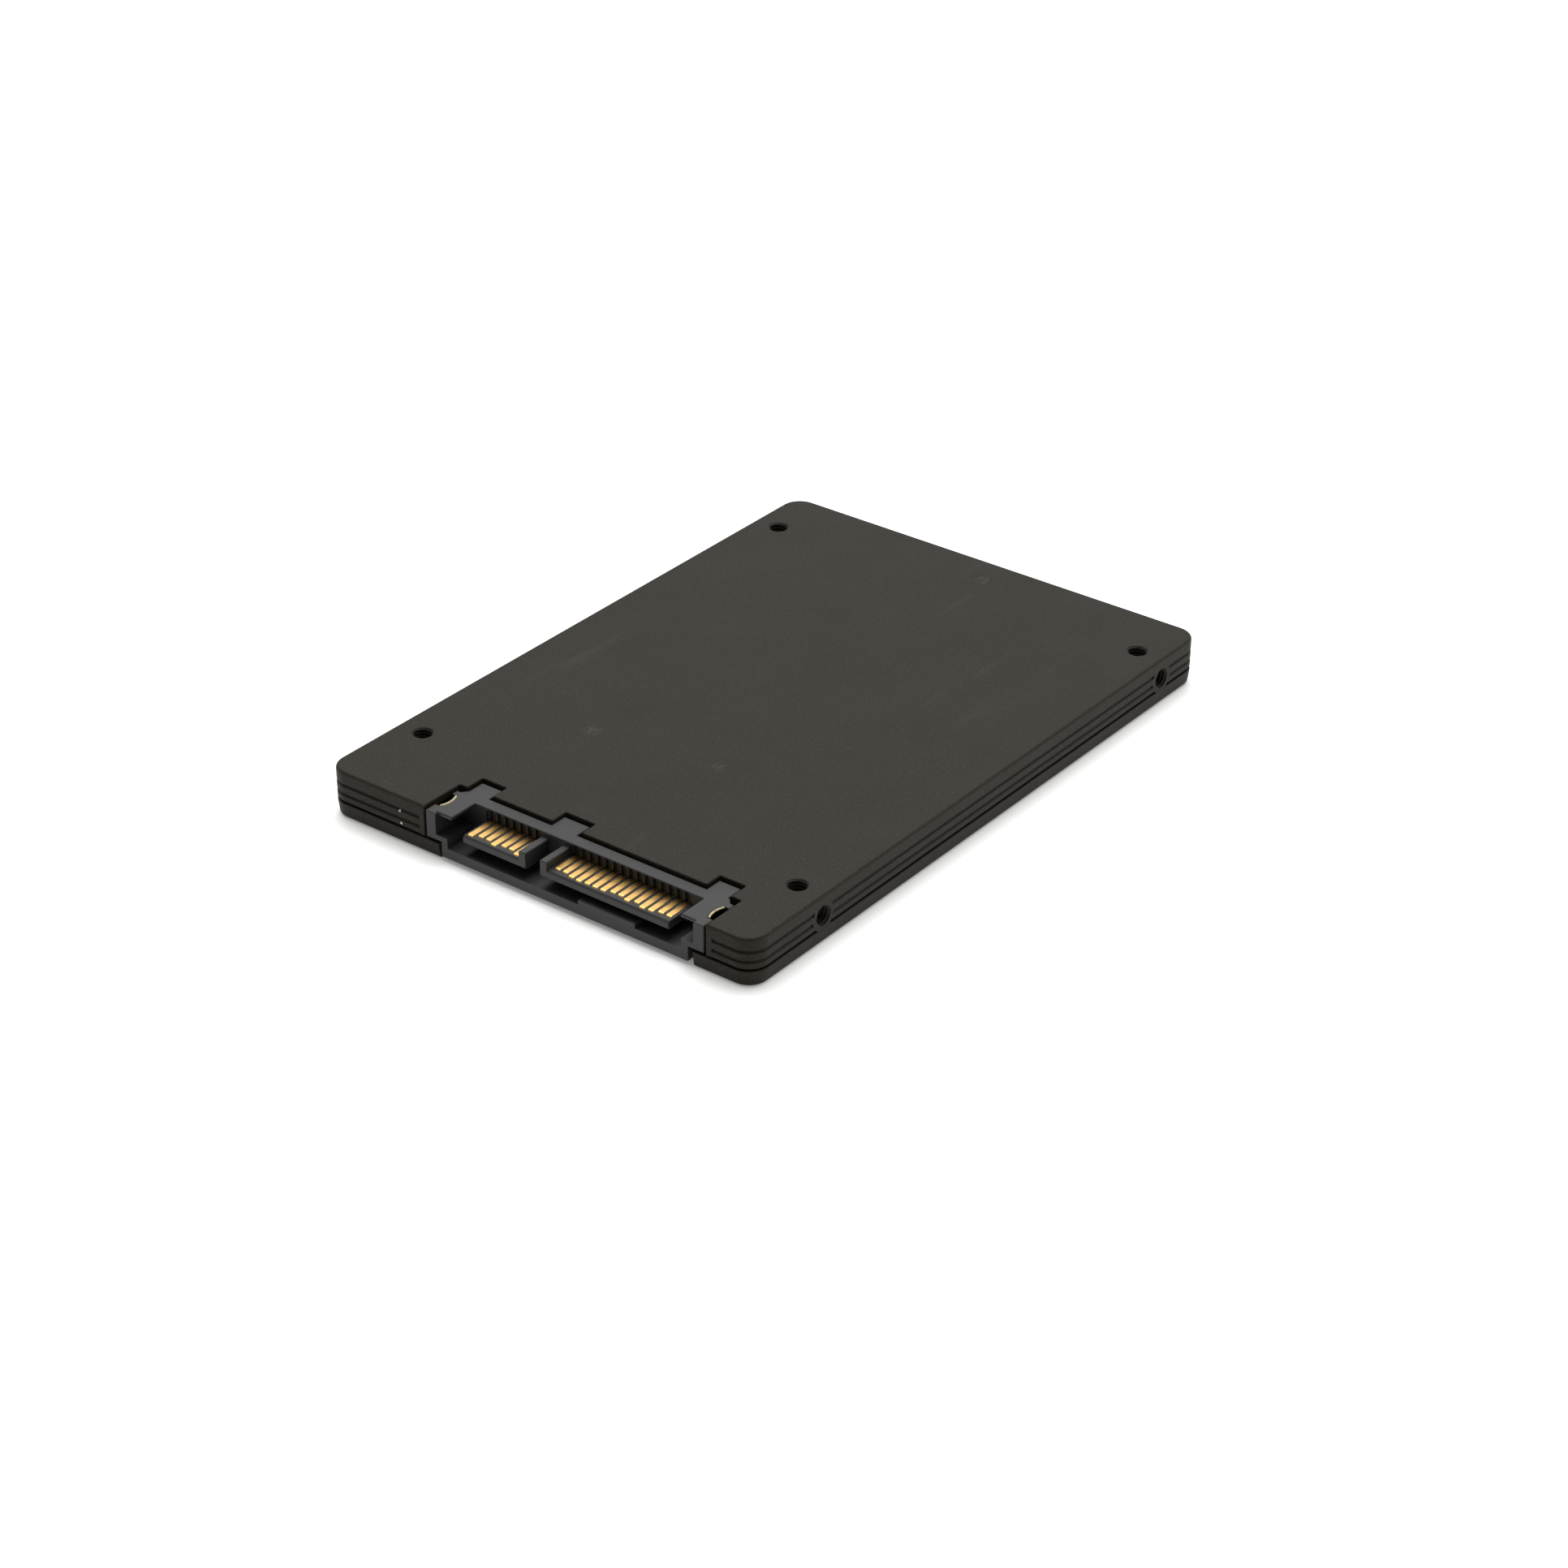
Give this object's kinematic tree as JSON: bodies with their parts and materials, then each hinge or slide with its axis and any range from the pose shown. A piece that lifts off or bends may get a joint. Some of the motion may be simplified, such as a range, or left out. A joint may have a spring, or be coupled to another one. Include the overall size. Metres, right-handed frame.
{
  "type": "solid state drive",
  "caption": "Slim 2.5-inch solid state drive, 7 mm high: flat cased storage module with a combined signal and power edge plug.",
  "frame": {"origin": "middle of the cover face, at the bottom of the bounding box", "axes": "+Z out of the mounting face, +Y away from the plug end, +X across to the right, seen from above with the plug end towards the viewer"},
  "size_m": [0.0698, 0.1002, 0.007],
  "materials": {
    "painted_case": "matte dark warm grey, fine texture",
    "painted_cover": "matte dark warm grey, fine texture",
    "label_film": "satin blank film",
    "board_laminate": "green solder mask",
    "plug_plastic": "moulded dark grey",
    "clip_metal": "plated spring metal",
    "contact_gold": "gold plated",
    "black_screw": "black zinc",
    "steel_screw": "zinc plated",
    "chip_epoxy": "black moulding compound",
    "thermal_pad": "soft silicone",
    "can_metal": "nickel plated can",
    "ferrite": "moulded iron powder",
    "tantalum": "yellow moulded body"
  },
  "bodies": {
    "root": {"housing_shell": "painted_case", "bottom_cover": "painted_cover", "cover_label": "label_film", "circuit_board": "board_laminate", "connector_housing": "plug_plastic", "hold_down_left": "clip_metal", "hold_down_right": "clip_metal", "signal_contact_1": "contact_gold", "signal_contact_2": "contact_gold", "signal_contact_3": "contact_gold", "signal_contact_4": "contact_gold", "signal_contact_5": "contact_gold", "signal_contact_6": "contact_gold", "signal_contact_7": "contact_gold", "power_contact_1": "contact_gold", "power_contact_2": "contact_gold", "power_contact_3": "contact_gold", "power_contact_4": "contact_gold", "power_contact_5": "contact_gold", "power_contact_6": "contact_gold", "power_contact_7": "contact_gold", "power_contact_8": "contact_gold", "power_contact_9": "contact_gold", "power_contact_10": "contact_gold", "power_contact_11": "contact_gold", "power_contact_12": "contact_gold", "power_contact_13": "contact_gold", "power_contact_14": "contact_gold", "power_contact_15": "contact_gold", "cover_screw_1": "black_screw", "cover_screw_2": "black_screw", "cover_screw_3": "black_screw", "cover_screw_4": "black_screw", "board_screw_1": "steel_screw", "board_screw_2": "steel_screw", "board_screw_3": "steel_screw", "board_screw_4": "steel_screw", "nand_chip_1": "chip_epoxy", "nand_chip_2": "chip_epoxy", "nand_chip_3": "chip_epoxy", "nand_chip_4": "chip_epoxy", "nand_chip_5": "chip_epoxy", "nand_chip_6": "chip_epoxy", "nand_chip_7": "chip_epoxy", "nand_chip_8": "chip_epoxy", "controller_chip": "chip_epoxy", "memory_chip": "chip_epoxy", "power_regulator": "chip_epoxy", "controller_pad": "thermal_pad", "nand_pad": "thermal_pad", "oscillator": "can_metal", "inductor_1": "ferrite", "inductor_2": "ferrite", "inductor_3": "ferrite", "hold_up_capacitor_1": "tantalum", "hold_up_capacitor_2": "tantalum", "hold_up_capacitor_3": "tantalum", "hold_up_capacitor_4": "tantalum"}
  },
  "joints": []
}
